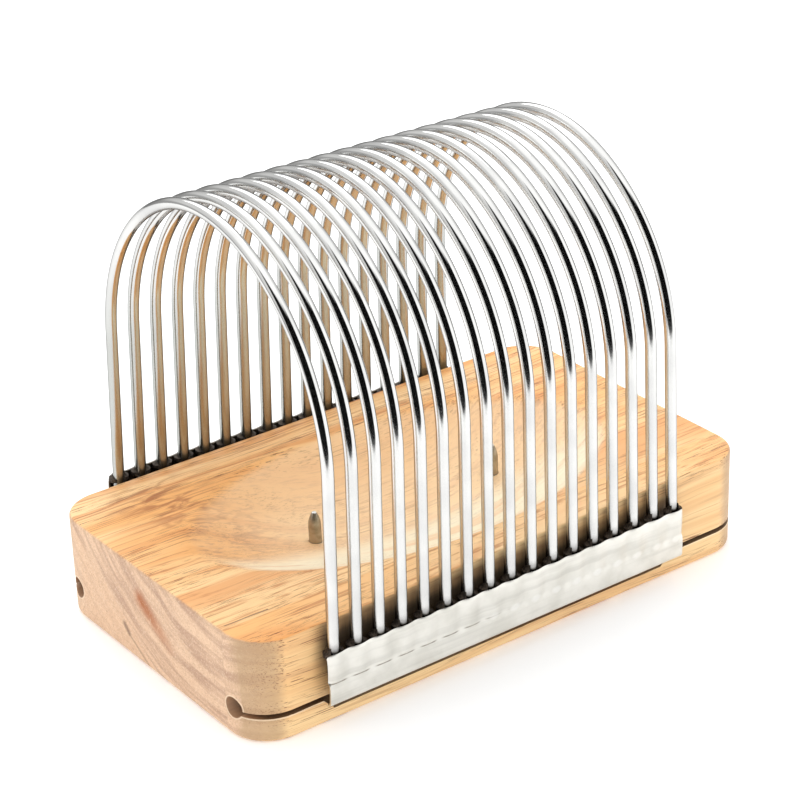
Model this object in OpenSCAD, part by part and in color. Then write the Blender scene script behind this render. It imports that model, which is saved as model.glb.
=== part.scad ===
// Slicing rack: a hardwood board with two holding spikes, and a guard of steel hoops
// that guides the knife. The guard hangs on one long side of the board by a rolled bead
// that lies in a keyhole channel, so it can swing up and can slide off the board's end.
// The origin is the middle of the board's underside: +X along the board, +Z up.

/* [Board] */
// Length of the board
board_l = 235; // [220:1:260]
// Width of the board
board_w = 136; // [134:1:140]
// Thickness of the board
board_t = 42; // [38:1:46]
// Radius of the four upright corners
corner_r = 16.5; // [8:0.5:20]
// Radius of the eased edges, top and bottom
edge_r = 2; // [1:0.5:3]
// Length of the oval hollow in the top
dish_l = 188; // [150:1:196]
// Width of the oval hollow in the top
dish_w = 104; // [80:1:110]
// Depth of the oval hollow in the middle
dish_depth = 16; // [8:0.5:18]

/* [Spikes] */
// Distance between the two spikes
spike_spacing = 86; // [60:1:110]
// Diameter of a spike
spike_d = 5; // [4:0.5:6]
// Diameter of a spike's flat tip
spike_tip_d = 2; // [1:0.5:3]
// Length of a spike's tapered end
spike_taper = 6; // [3:0.5:8]
// Depth that a spike goes into the wood below the hollow
spike_hold = 13; // [8:1:14]

/* [Channel] */
// Distance from the board's long side to the middle of the round channel
channel_inset = 14; // [13:0.5:15]
// Height of the middle of the round channel
channel_z = 12.5; // [12.5:0.5:14]
// Diameter of the round channel
channel_d = 8.2; // [8.2:0.1:9]
// Height of the saw slit that opens the channel to the side
slit_h = 2; // [2:0.1:2.2]
// Distance of the slit's middle below the middle of the channel
slit_drop = 1.4; // [1.4:0.1:1.5]

/* [Guard] */
// Number of hoops
hoop_count = 17; // [5:2:19]
// Distance from one hoop to the next
hoop_pitch = 10; // [9:0.5:11]
// Diameter of the hoop wire
wire_d = 4.5; // [4:0.1:5]
// Distance between the feet of a hoop, middle to middle
foot_spacing = 145.2; // [145:0.1:148]
// Height of the hoop feet when the guard is level
foot_z = 22.2; // [21:0.1:24]
// Inward lean of the hoop legs
leg_lean = 1.3; // [0.5:0.1:2]
// Length of the straight part of a leg
leg_l = 79; // [60:0.5:90]
// Bend radius of the shoulders
shoulder_r = 76.7; // [70:0.1:80]
// Angle that a shoulder turns
shoulder_turn = 60; // [40:1:70]
// Shift of the guard along the board
guard_x = -5.7; // [-6:0.1:6]
// Shift of the guard across the board
guard_y = 1.3; // [0:0.1:1.4]
// Angle at which the guard rests, with its back raised
guard_tilt = 3; // [1:0.5:3]
// Angle by which the last hoop lies lower than the first, because the guard is sprung
guard_twist = 3.5; // [0:0.5:3.5]
// Angle that the guard opens from there
open_turn = 18; // [8:1:18]

/* [Rails] */
// Length of a rail
rail_l = 167; // [165:1:170]
// Height of the crimped band above the hoop feet
band_h = 10.9; // [8:0.1:12]
// Thickness of the sheet steel
sheet = 0.8; // [0.7:0.1:0.9]
// Depth of the waves that the hoops press into the band
wave_depth = 0.7; // [0.4:0.1:0.8]
// Outer radius of the bend at the bottom of a rail
bend_r = 2; // [1.5:0.1:2.2]
// How far the flange is cut back at each end of the rail
flange_cut = 6; // [6:0.5:8]
// Length of the back rail's inward lip
lip_l = 2.5; // [1:0.5:3]
// Angle at which the back rail slopes down along the board, less steeply than the hoop feet
back_slope = 1.7; // [0:0.1:1.8]
// How far the back rail sits above the first hoop's foot
back_lift = 2.5; // [0:0.5:2.5]
// Diameter of the rod inside the rolled bead
rod_d = 6; // [5:0.1:6]
// Outer diameter of the rolled bead
bead_d = 7.6; // [7.2:0.1:7.6]

/* [Hidden] */
$fn = 96;
function hoop_name(i) = str("hoop_", i < 9 ? "0" : "", i + 1);

front = -1;
back = 1;
eps = 1;                 // how far a cutting shape runs past the wood
rod_fit = 0.05;          // running clearance round the rod
flange_gap = 0.3;        // space under the flange, at rest and fully open
back_gap = 0.45;         // space between the back rail and the hoops, for the twist
slit_z = channel_z - slit_drop;

// The hinge line, about which the guard swings
hinge_y = -board_w / 2 + channel_inset;
hinge_z = channel_z;

// Bottom of the flange below the hinge line, with the guard at rest
flange_drop = slit_drop + slit_h / 2 - flange_gap;
// Height of the notch floor where it meets the board's side
notch_z = hinge_z - channel_inset * tan(open_turn) - flange_drop / cos(open_turn) - flange_gap;

// The hollow is turned about an axis above the board: its radius across and along
dish_across_r = (pow(dish_w / 2, 2) + pow(dish_depth, 2)) / (2 * dish_depth);
dish_along_r = (pow(dish_l / 2, 2) + pow(dish_depth, 2)) / (2 * dish_depth);

// A rail's section is drawn from the foot of a hoop leg: x outwards, y up along the leg
wire_r = wire_d / 2;
sheet_x = wire_r + (sheet - wave_depth) / 2;      // middle of the flat sheet
bend_x = sheet_x - bend_r + sheet / 2;            // middle of the bottom bend
flange_slope = guard_tilt - leg_lean;
foot_y = guard_y + front * foot_spacing / 2;
hinge_in_leg = [
    (foot_y - hinge_y) * cos(leg_lean) + (hinge_z - foot_z) * sin(leg_lean),
    (hinge_y - foot_y) * sin(leg_lean) + (hinge_z - foot_z) * cos(leg_lean)
];
flange_start = hinge_in_leg + (flange_drop - sheet / 2) * [sin(flange_slope), -cos(flange_slope)];
flange_l = (bend_x + (bend_r - sheet / 2) * sin(flange_slope) - flange_start.x) / cos(flange_slope);
bend_y = flange_start.y + flange_l * sin(flange_slope) + (bend_r - sheet / 2) * cos(flange_slope);

// Half the width that the crown spans, and its radius, so that the two shoulders meet
crown_half = foot_spacing / 2 - leg_l * sin(leg_lean)
    - shoulder_r * (cos(leg_lean) - cos(leg_lean + shoulder_turn));
crown_r = crown_half / cos(leg_lean + shoulder_turn);
crown_turn = 90 - leg_lean - shoulder_turn;
crown_z = foot_z + leg_l * cos(leg_lean) - shoulder_r * sin(leg_lean)
    + (shoulder_r - crown_r) * sin(leg_lean + shoulder_turn);
// How far the middle of the back rail is above the middle hoop's foot
back_rise = back_lift
    + (foot_spacing * sin(guard_twist) - (hoop_count - 1) * hoop_pitch * tan(back_slope)) / 2;
crown_lap = 0.5;          // how far the crown runs on into each shoulder
crown_d = wire_d - 0.02;  // a hair thinner, so that its ends lie inside the shoulders

// Extrudes a section, drawn as y and z, along the board
module along_x(length) {
    translate([-length / 2, 0, 0])
        rotate([90, 0, 90])
            linear_extrude(length)
                children();
}

// Swings the level guard to the angle at which it rests
module swung() {
    translate([0, hinge_y, hinge_z])
        rotate([guard_tilt, 0, 0])
            translate([0, -hinge_y, -hinge_z])
                children();
}

// Tips part of the level guard about its front feet, so that its back comes down
module tipped(turn) {
    translate([0, foot_y, foot_z])
        rotate([-turn, 0, 0])
            translate([0, -foot_y, -foot_z])
                children();
}

// Places what is drawn at a hoop's foot, with +y outwards and +z up the leg
module on_leg(side, turn = 0, slope = 0) {
    swung()
        tipped(turn)
            translate([guard_x, guard_y + side * foot_spacing / 2, foot_z])
                mirror([0, side == front ? 1 : 0, 0])
                    rotate([0, slope, 0])
                        rotate([leg_lean, 0, 0])
                            children();
}

module rounded_rectangle(length, width, r) {
    square([length - 2 * r, width], center = true);
    square([length, width - 2 * r], center = true);
    for (x = [-1, 1], y = [-1, 1])
        translate([x * (length / 2 - r), y * (width / 2 - r)])
            circle(r);
}

// The block, with upright corners rounded and long edges eased
module board_blank() {
    intersection() {
        linear_extrude(board_t)
            rounded_rectangle(board_l, board_w, corner_r);
        translate([0, 0, board_t / 2])
            along_x(board_l + 2 * eps)
                rounded_rectangle(board_w, board_t, edge_r);
        translate([0, 0, board_t / 2])
            rotate([90, 0, 0])
                linear_extrude(board_w + 2 * eps, center = true)
                    rounded_rectangle(board_l, board_t, edge_r);
    }
}

// The oval hollow that the food lies in
module dish() {
    translate([0, 0, board_t - dish_depth + dish_across_r])
        rotate([0, 90, 0])
            rotate_extrude()
                intersection() {
                    translate([dish_across_r - dish_along_r, 0])
                        circle(dish_along_r, $fn = 720);
                    translate([0, -dish_l])
                        square([dish_across_r, 2 * dish_l]);
                }
}

// Height of the hollow's floor on the board's middle line
function dish_floor(x) =
    board_t - dish_depth + dish_along_r - sqrt(pow(dish_along_r, 2) - x * x);

// The keyhole channel along the front, open at both ends
module keyhole() {
    translate([0, hinge_y, channel_z])
        rotate([0, 90, 0])
            cylinder(h = board_l + 2 * eps, d = channel_d, center = true);
    translate([-board_l / 2 - eps, -board_w / 2 - eps, slit_z - slit_h / 2])
        cube([board_l + 2 * eps, channel_inset + eps, slit_h]);
}

// The ramped notch below the slit, which lets the flange turn down as the guard opens
module notch() {
    top = slit_z;
    run = channel_inset + eps;
    depth = top - notch_z + eps;
    intersection() {
        along_x(board_l)
            polygon([
                [hinge_y, top],
                [hinge_y, notch_z + channel_inset * tan(open_turn)],
                [hinge_y - run, notch_z - eps * tan(open_turn)],
                [hinge_y - run, top]
            ]);
        translate([guard_x, 0, top])
            rotate([90, 0, 0])
                linear_extrude(board_w)
                    polygon([
                        [-rail_l / 2, 0],
                        [-rail_l / 2 + depth, -depth],
                        [rail_l / 2 - depth, -depth],
                        [rail_l / 2, 0]
                    ]);
    }
}

module board() {
    color("burlywood")
        difference() {
            board_blank();
            dish();
            for (side = [0, 1])
                mirror([0, side, 0]) {
                    keyhole();
                    notch();
                }
            for (side = [-1, 1])
                translate([side * spike_spacing / 2, 0, dish_floor(spike_spacing / 2) - spike_hold])
                    cylinder(h = board_t, d = spike_d);
        }
}

// A steel pin driven into the board, its tip level with the board's top
module spike(side) {
    bottom = dish_floor(spike_spacing / 2) - spike_hold;
    color("gray")
        translate([side * spike_spacing / 2, 0, 0]) {
            translate([0, 0, bottom])
                cylinder(h = board_t - spike_taper - bottom, d = spike_d);
            translate([0, 0, board_t - spike_taper])
                cylinder(h = spike_taper, d1 = spike_d, d2 = spike_tip_d);
        }
}

// The rod in the front rail's bead, which lies in the round channel
module hinge_rod() {
    color("dimgray")
        translate([guard_x, hinge_y, hinge_z])
            rotate([0, 90, 0])
                cylinder(h = rail_l - 2 * flange_cut, d = rod_d, center = true);
}

// A hoop's leg and the shoulder above it, drawn from the foot
module leg_and_shoulder() {
    cylinder(h = leg_l, d = wire_d);
    translate([0, -shoulder_r, leg_l])
        rotate([90, 0, 90])
            rotate_extrude(angle = shoulder_turn)
                translate([shoulder_r, 0])
                    circle(d = wire_d);
}

// The arc that joins the two shoulders over the top
module crown() {
    rotate([90, 0, 90])
        rotate([0, 0, 90 - crown_turn - crown_lap])
            rotate_extrude(angle = 2 * (crown_turn + crown_lap))
                translate([crown_r, 0])
                    circle(d = crown_d);
}

module hoop(i) {
    x = (i - (hoop_count - 1) / 2) * hoop_pitch;
    turn = guard_twist * i / (hoop_count - 1);
    color("silver") {
        for (side = [front, back])
            on_leg(side, turn)
                translate([x, 0, 0])
                    leg_and_shoulder();
        swung()
            tipped(turn)
                translate([guard_x + x, guard_y, crown_z])
                    crown();
    }
}

// The sheet's middle line in the crimped band, bulging out at each hoop
function wave(x) = wire_r + sheet / 2 - wave_depth / 2 * (1 - cos(360 * x / hoop_pitch));

// The upper band of a rail, which the hoops are welded to
module crimped_band() {
    step = hoop_pitch / 8;
    ends = rail_l / 2;
    stations = concat([-ends], [for (x = [-floor(ends / step) : floor(ends / step)]) x * step], [ends]);
    linear_extrude(band_h)
        polygon(concat(
            [for (x = stations) [x, wave(x) - sheet / 2]],
            [for (k = [len(stations) - 1 : -1 : 0]) [stations[k], wave(stations[k]) + sheet / 2]]
        ));
}

// The flat skirt and the bend at its foot, down to where the sheet turns inwards
module skirt_section() {
    translate([sheet_x - sheet / 2, bend_y])
        square([sheet, -bend_y]);
    translate([bend_x, bend_y])
        intersection() {
            difference() {
                circle(bend_r);
                circle(bend_r - sheet);
            }
            polygon([
                [0, 0],
                2 * bend_r * [sin(flange_slope), -cos(flange_slope)],
                2 * bend_r * [1, -1],
                [2 * bend_r, 0]
            ]);
        }
}

// The flange that runs in through the slit and ends in the bead round the rod
module flange_section() {
    difference() {
        union() {
            translate(flange_start)
                rotate(flange_slope)
                    translate([0, -sheet / 2])
                        square([flange_l, sheet]);
            translate(hinge_in_leg)
                circle(d = bead_d);
        }
        translate(hinge_in_leg)
            circle(d = rod_d + 2 * rod_fit);
    }
}

module front_rail() {
    color("gainsboro")
        on_leg(front) {
            crimped_band();
            along_x(rail_l)
                skirt_section();
            along_x(rail_l - 2 * flange_cut)
                flange_section();
        }
}

module back_rail() {
    color("gainsboro")
        on_leg(back, guard_twist / 2, back_slope)
            translate([0, back_gap, back_rise]) {
                crimped_band();
                along_x(rail_l)
                    skirt_section();
                along_x(rail_l - 2 * flange_cut)
                    translate([bend_x, bend_y])
                        rotate(flange_slope)
                            translate([-lip_l, -bend_r])
                                square([lip_l, sheet]);
            }
}

board();
spike(-1);  // spike_left
spike(1);  // spike_right
hinge_rod();
front_rail();
back_rail();
for (i = [0 : hoop_count - 1])
    hoop(i);
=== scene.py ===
"""Looks of the slicing rack: a rubberwood block, polished steel hoops, crimped steel rails."""
import math
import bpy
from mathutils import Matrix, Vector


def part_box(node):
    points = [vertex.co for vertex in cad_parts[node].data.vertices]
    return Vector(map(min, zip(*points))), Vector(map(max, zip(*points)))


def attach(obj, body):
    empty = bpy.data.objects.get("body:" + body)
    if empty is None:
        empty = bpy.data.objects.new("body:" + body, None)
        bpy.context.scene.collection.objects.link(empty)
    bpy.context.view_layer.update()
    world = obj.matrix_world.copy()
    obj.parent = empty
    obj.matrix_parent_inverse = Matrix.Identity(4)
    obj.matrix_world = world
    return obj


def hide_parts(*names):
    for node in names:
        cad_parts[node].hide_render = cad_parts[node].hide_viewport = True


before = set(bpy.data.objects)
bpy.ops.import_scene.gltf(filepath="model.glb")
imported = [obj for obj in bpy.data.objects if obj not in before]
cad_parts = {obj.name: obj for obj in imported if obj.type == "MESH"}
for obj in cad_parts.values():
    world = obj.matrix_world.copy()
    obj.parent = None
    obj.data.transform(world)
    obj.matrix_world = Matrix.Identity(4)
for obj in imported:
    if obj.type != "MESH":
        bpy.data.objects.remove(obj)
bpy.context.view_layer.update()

from types import SimpleNamespace

import bmesh
import bpy
from mathutils import Matrix, Vector

MM = 0.001
FRONT, BACK = -1, 1

# The board, from its CAD box
board_lo, board_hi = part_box("board")
BOARD_L = board_hi.x - board_lo.x
BOARD_W = board_hi.y - board_lo.y
BOARD_T = board_hi.z - board_lo.z
CORNER_R = 16.5 * MM
TOP_EDGE_R = 1.1 * MM
BOTTOM_EDGE_R = 2.4 * MM
DISH_L = 188 * MM
DISH_W = 104 * MM
DISH_DEPTH = 16 * MM
DISH_RIM_SOFTNESS = 0.9 * MM      # how much the hollow's rim is sanded over
DISH_ACROSS_R = ((DISH_W / 2) ** 2 + DISH_DEPTH ** 2) / (2 * DISH_DEPTH)
DISH_ALONG_R = ((DISH_L / 2) ** 2 + DISH_DEPTH ** 2) / (2 * DISH_DEPTH)

# The spikes
SPIKE_HOLE_R = 2.62 * MM
SPIKE_HOLE_Z = 16.2 * MM          # the hole's floor
SPIKE_POINT_L = 6 * MM            # from the shoulder to the tip
SPIKE_TIP_R = 0.95 * MM

# The keyhole channel
CHANNEL_INSET = 14 * MM
CHANNEL_Z = 12.5 * MM
CHANNEL_R = 4.1 * MM
SLIT_TOP = 12.1 * MM
SLIT_BOTTOM = 10.1 * MM
OPEN_TURN = math.radians(18)
NOTCH_Z = 5.44 * MM               # the notch's floor where it meets the board's side
PAST = 1 * MM                     # how far a cutting shape runs past the wood

# The guard
WIRE_R = 2.25 * MM
HOOP_COUNT = 17
HOOP_PITCH = 10 * MM
FOOT_SPACING = 145.2 * MM
FOOT_Z = 22.2 * MM
GUARD_X = -5.7 * MM
GUARD_Y = 1.3 * MM
GUARD_TILT = math.radians(3)
GUARD_TWIST = math.radians(3.5)   # how much lower the last hoop lies than the first
LEG_LEAN = math.radians(1.3)
LEG_L = 79 * MM
SHOULDER_R = 76.7 * MM
SHOULDER_TURN = math.radians(60)
HINGE = Vector((0, board_lo.y + CHANNEL_INSET, CHANNEL_Z))

# The rails: x outwards from the wire's middle, y up the leg from its foot
RAIL_L = 167 * MM
BAND_H = 10.9 * MM
SHEET = 0.8 * MM
WAVE_DEPTH = 0.7 * MM
CREASE_Y = -0.6 * MM
BEND_R = 1.6 * MM                 # to the middle of the sheet
FLAT_X = WIRE_R + (SHEET - WAVE_DEPTH) / 2
BEND_X = FLAT_X - BEND_R
FLANGE_SLOPE = GUARD_TILT - LEG_LEAN
FLANGE_CUT = 6 * MM
FLANGE_DROP = 2.1 * MM
LIP_L = 2.5 * MM
BACK_SLOPE = math.radians(1.7)    # of the back rail, down to the right
BACK_LIFT = 2.5 * MM              # of the back rail above the first hoop's foot
BACK_GAP = 0.45 * MM              # between the back rail and the hoops
BEAD_R = 3.45 * MM                # to the middle of the rolled sheet
BEAD_TURN = 318                   # degrees
TOP_CORNER_R = 1.8 * MM           # of the band, at the rail's ends
BAND_SWELL = 0.18 * MM            # how far the band bellies out half way up
WELD_SPREAD = math.radians(128)   # round the hoop to each side of its inner face
WELD_ALONG = 1.9 * MM             # its reach along the rail
WELD_INWARDS = 0.35 * MM          # and towards the board
WELD_RISE = 2.2 * MM

# The wood's growth layers lie round a pith above the front edge
PITH_Y = -50 * MM
PITH_Z = 131 * MM
PITH_AWAY = 120 * MM              # roughly how far the board is from it
LAYER_WAVE = 22 * MM              # how far slow waves push the layers about

# Marks in the wood: where each starts and ends, and how wide it is
FIGURE = ((-85 * MM, 50 * MM, BOARD_T), (-66 * MM, 8 * MM, BOARD_T), 30 * MM)
KNOT = ((board_lo.x, 6 * MM, 29 * MM), (board_lo.x + 4 * MM, -13 * MM, 17 * MM), 6.2 * MM)
CHECK = ((board_lo.x, 19.5 * MM, 12.5 * MM), (board_lo.x, 16.5 * MM, 9.5 * MM), 2.2 * MM)
CRACK = ((board_lo.x, 16 * MM, 9 * MM), (board_lo.x, 4 * MM, 2 * MM), 1.1 * MM)
GOUGE = ((board_lo.x + 3 * MM, -47.6 * MM, BOARD_T),
         (board_lo.x + 21 * MM, -47.9 * MM, BOARD_T), 0.45 * MM)

# The studio: bearings run from +X, widths are in radians, heights are sines of elevation
BACKDROP = 1.2                    # how bright the backdrop looks to the camera
DOME = 1.2                        # the white light that falls on everything
SOFT_BOXES = 1.38                 # what the steel sees above the floor
GAP_BEARING = math.radians(-126)  # a dark gap between the soft boxes, behind the camera
GAP_HALF_WIDTH = 0.83
GAP_SOFTNESS = 0.18
GAP_TOP = 0.85
WALL_BEARING = math.radians(85)   # a grey wall at the back, darker towards the floor
WALL_HALF_WIDTH = 1.5
WALL_SOFTNESS = 0.5
WALL_SHADE = 0.88
WALL_FOOT_SHADE = 0.50
WALL_TOP = (0.95, 0.50)           # the heights between which it fades out
WALL_FOOT = (0.08, 0.26)          # and those between which it lightens
KEY_PLACE = Vector((0.35, 0.85, 1.1))
KEY_SIZE = (1.2, 0.9)
KEY_POWER = 7.0                   # watts
FLOOR_GLOW = 0.16                 # lifts the floor to white under the object's shadow
TABLE_FRONT = 0.36                # from the object to the table's edge towards the camera
TABLE_BACK = 2.0
TABLE_HALF_WIDTH = 1.5

# The camera
CAMERA_LENS = 112.9
CAMERA_AZIMUTH = math.radians(-35.812)
CAMERA_ELEVATION = math.radians(26.316)
CAMERA_ROLL = math.radians(-2.033)
CAMERA_PLACE = Vector((-0.50342, -0.69637, 0.50053))


# ---------------------------------------------------------------- meshes

def mesh_object(name, vertices, faces):
    data = bpy.data.meshes.new(name)
    data.from_pydata(vertices, [], faces)
    made = bpy.data.objects.new(name, data)
    bpy.context.scene.collection.objects.link(made)
    return made


def tidy_normals(made, sharp_angle):
    """Points the faces outwards and shades them smooth, with a hard edge where they meet sharply."""
    shape = bmesh.new()
    shape.from_mesh(made.data)
    bmesh.ops.remove_doubles(shape, verts=shape.verts, dist=1e-7)
    bmesh.ops.recalc_face_normals(shape, faces=shape.faces)
    for face in shape.faces:
        face.smooth = True
    for edge in shape.edges:
        edge.smooth = len(edge.link_faces) == 2 and edge.calc_face_angle(0) < sharp_angle
    shape.to_mesh(made.data)
    shape.free()


def apply_modifiers(made):
    graph = bpy.context.evaluated_depsgraph_get()
    final = bpy.data.meshes.new_from_object(made.evaluated_get(graph))
    made.modifiers.clear()
    made.data = final


def bridge(rings, closed=True):
    """Quads between rings of vertices that follow one another, as lists of vertex numbers."""
    faces = []
    for lower, upper in zip(rings, rings[1:]):
        count = len(lower)
        for k in range(count if closed else count - 1):
            after = (k + 1) % count
            faces.append((lower[k], lower[after], upper[after], upper[k]))
    return faces


def numbered(rings):
    """Turns rings of points into one list of points and rings of their numbers."""
    points, numbers = [], []
    for ring in rings:
        numbers.append(list(range(len(points), len(points) + len(ring))))
        points.extend(ring)
    return points, numbers


def closed_by_rings(name, rings):
    """A solid skinned over rings, with a flat face on each end."""
    points, numbers = numbered(rings)
    faces = bridge(numbers) + [tuple(reversed(numbers[0])), tuple(numbers[-1])]
    return mesh_object(name, points, faces)


def turned(name, profile, place, sides=48):
    """A solid of revolution; profile holds (radius, height) and place maps x, y, z to the frame."""
    rings = []
    for radius, height in profile:
        turns = [2 * math.pi * k / sides for k in range(sides)]
        rings.append([place @ Vector((radius * math.cos(t), radius * math.sin(t), height)) for t in turns])
    return closed_by_rings(name, rings)


def arc(centre, radius, start, end, steps):
    """Points round a circle, from one angle to another, both in degrees."""
    angles = [math.radians(start + (end - start) * k / steps) for k in range(steps + 1)]
    return [(centre[0] + radius * math.cos(a), centre[1] + radius * math.sin(a)) for a in angles]


# ---------------------------------------------------------------- the board

def board_outline(inset):
    """Points round the board's plan, pulled in by inset, with evenly divided straight sides."""
    half_x, half_y = BOARD_L / 2 - inset, BOARD_W / 2 - inset
    r = CORNER_R - inset
    corners = [(1, 1), (-1, 1), (-1, -1), (1, -1)]
    divisions = [44, 26, 44, 26]
    bends = [arc((sx * (half_x - r), sy * (half_y - r)), r, 90 * k, 90 * (k + 1), 14)
             for k, (sx, sy) in enumerate(corners)]
    points = []
    for bend, following, divided in zip(bends, bends[1:] + bends[:1], divisions):
        points.extend(bend)
        (x, y), (next_x, next_y) = bend[-1], following[0]
        for k in range(1, divided):
            share = k / divided
            points.append((x + (next_x - x) * share, y + (next_y - y) * share))
    return points


def hollow_depth(x, y):
    """How deep the oval hollow lies below the board's top; below zero outside it."""
    along = DISH_ALONG_R - math.sqrt(DISH_ALONG_R ** 2 - x * x)
    radius = DISH_ACROSS_R - along
    return math.sqrt(max(radius ** 2 - y * y, 0)) - (DISH_ACROSS_R - DISH_DEPTH)


def top_height(x, y):
    """The board's upper surface, with the rim of the hollow softly rounded."""
    depth = hollow_depth(x, y)
    return BOARD_T - (depth + math.sqrt(depth ** 2 + DISH_RIM_SOFTNESS ** 2)) / 2


def rim_point(direction):
    """Where the hollow's rim lies in a direction from the middle of the board."""
    near, far = 0.0, DISH_L
    for _ in range(40):
        middle = (near + far) / 2
        if hollow_depth(direction.x * middle, direction.y * middle) > 0:
            near = middle
        else:
            far = middle
    return direction * near


def board_rings():
    rings = []
    for k in range(7):
        t = math.radians(15 * k)
        rings.append([(x, y, BOTTOM_EDGE_R * (1 - math.cos(t)))
                      for x, y in board_outline(BOTTOM_EDGE_R * (1 - math.sin(t)))])
    for k in range(6):
        t = math.radians(18 * k)
        rings.append([(x, y, BOARD_T - TOP_EDGE_R * (1 - math.sin(t)))
                      for x, y in board_outline(TOP_EDGE_R * (1 - math.cos(t)))])
    border = [Vector(p) for p in board_outline(TOP_EDGE_R)]
    rim = [rim_point(p.normalized()) for p in border]
    for share in (0.3, 0.6, 0.8, 0.9, 0.96, 1.0):
        plan = [p.lerp(q, share) for p, q in zip(border, rim)]
        rings.append([(p.x, p.y, top_height(p.x, p.y)) for p in plan])
    inner = 46
    for k in range(1, inner):
        share = 1 - (k / inner) ** 1.25
        rings.append([(q.x * share, q.y * share, top_height(q.x * share, q.y * share)) for q in rim])
    return rings


def prism(name, section, x_from, x_to):
    """A solid of one section, given as (y, z) points, between two places along the board."""
    return closed_by_rings(name, [[(x, y, z) for y, z in section] for x in (x_from, x_to)])


def keyhole_cutter(side):
    """The round channel and the slit that opens it to the board's long side."""
    middle = BOARD_W / 2 - CHANNEL_INSET
    top_turn = math.degrees(math.asin((SLIT_TOP - CHANNEL_Z) / CHANNEL_R))
    bottom_turn = math.degrees(math.asin((SLIT_BOTTOM - CHANNEL_Z) / CHANNEL_R))
    section = arc((middle, CHANNEL_Z), CHANNEL_R, top_turn, 360 + bottom_turn, 40)
    section += [(BOARD_W / 2 + PAST, SLIT_BOTTOM), (BOARD_W / 2 + PAST, SLIT_TOP)]
    section = [(side * y, z) for y, z in section]
    return prism("keyhole_cutter", section, board_lo.x - PAST, board_hi.x + PAST)


def notch_cutter(side):
    """The ramped notch below the slit, with ends that slope at 45 degrees."""
    top = (SLIT_TOP + SLIT_BOTTOM) / 2
    rings = []
    for inset in (-PAST, CHANNEL_INSET):
        floor = NOTCH_Z + inset * math.tan(OPEN_TURN)
        y = side * (BOARD_W / 2 - inset)
        wide = RAIL_L / 2
        narrow = wide - (top - floor)
        rings.append([(GUARD_X - wide, y, top), (GUARD_X + wide, y, top),
                      (GUARD_X + narrow, y, floor), (GUARD_X - narrow, y, floor)])
    return closed_by_rings("notch_cutter", rings)


def spike_hole_cutter(x):
    section = [(SPIKE_HOLE_R, 0), (SPIKE_HOLE_R, BOARD_T)]
    return turned("spike_hole", section, Matrix.Translation((x, 0, SPIKE_HOLE_Z)), sides=32)


def spike_x(node):
    low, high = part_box(node)
    return (low.x + high.x) / 2


def make_board():
    made = closed_by_rings("board_block", board_rings())
    tidy_normals(made, math.radians(40))
    cutters = [keyhole_cutter(side) for side in (FRONT, BACK)]
    cutters += [notch_cutter(side) for side in (FRONT, BACK)]
    cutters += [spike_hole_cutter(spike_x(node)) for node in ("spike_left", "spike_right")]
    for cutter in cutters:
        tidy_normals(cutter, math.radians(30))
        cut = made.modifiers.new("cut", "BOOLEAN")
        cut.operation = "DIFFERENCE"
        cut.solver = "EXACT"
        cut.object = cutter
    apply_modifiers(made)
    for cutter in cutters:
        bpy.data.objects.remove(cutter)
    tidy_normals(made, math.radians(35))
    eased = made.modifiers.new("eased", "BEVEL")
    eased.width = 0.3 * MM
    eased.segments = 2
    eased.limit_method = "ANGLE"
    eased.angle_limit = math.radians(38)
    apply_modifiers(made)
    tidy_normals(made, math.radians(35))
    return made


# ---------------------------------------------------------------- spikes and rod

def make_spike(node):
    """A pin with a blunt rounded shoulder and a small flat tip."""
    low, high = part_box(node)
    radius = (high.x - low.x) / 2
    length = high.z - low.z
    shoulder = length - SPIKE_POINT_L
    curved_l = SPIKE_POINT_L - 0.25 * MM
    tip = SPIKE_TIP_R
    profile = [(radius - 0.2 * MM, 0), (radius, 0.2 * MM), (radius, shoulder)]
    steps = 12
    for k in range(1, steps + 1):
        share = k / steps
        profile.append((tip + (radius - tip) * (1 - share ** 2.1), shoulder + curved_l * share))
    profile += [(tip - 0.12 * MM, length - 0.06 * MM), (tip - 0.3 * MM, length)]
    place = Matrix.Translation(((low.x + high.x) / 2, (low.y + high.y) / 2, low.z))
    made = turned(node + "_pin", profile, place)
    tidy_normals(made, math.radians(32))
    return made


def make_rod():
    low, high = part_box("hinge_rod")
    radius = (high.z - low.z) / 2
    length = high.x - low.x
    chamfer = 0.5 * MM
    profile = [(radius - chamfer, 0), (radius, chamfer),
               (radius, length - chamfer), (radius - chamfer, length)]
    place = Matrix.Translation((low.x, HINGE.y, HINGE.z)) @ Matrix.Rotation(math.radians(90), 4, "Y")
    made = turned("hinge_rod_bar", profile, place)
    tidy_normals(made, math.radians(30))
    return made


# ---------------------------------------------------------------- hoops

def swung(turn=0.0):
    """Swings the level guard to its rest, with part of it first tipped about the front feet."""
    feet = Vector((0, GUARD_Y - FOOT_SPACING / 2, FOOT_Z))
    tipped = Matrix.Translation(feet) @ Matrix.Rotation(-turn, 4, "X") @ Matrix.Translation(-feet)
    tilt = Matrix.Rotation(GUARD_TILT, 4, "X")
    return Matrix.Translation(HINGE) @ tilt @ Matrix.Translation(-HINGE) @ tipped


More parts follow.
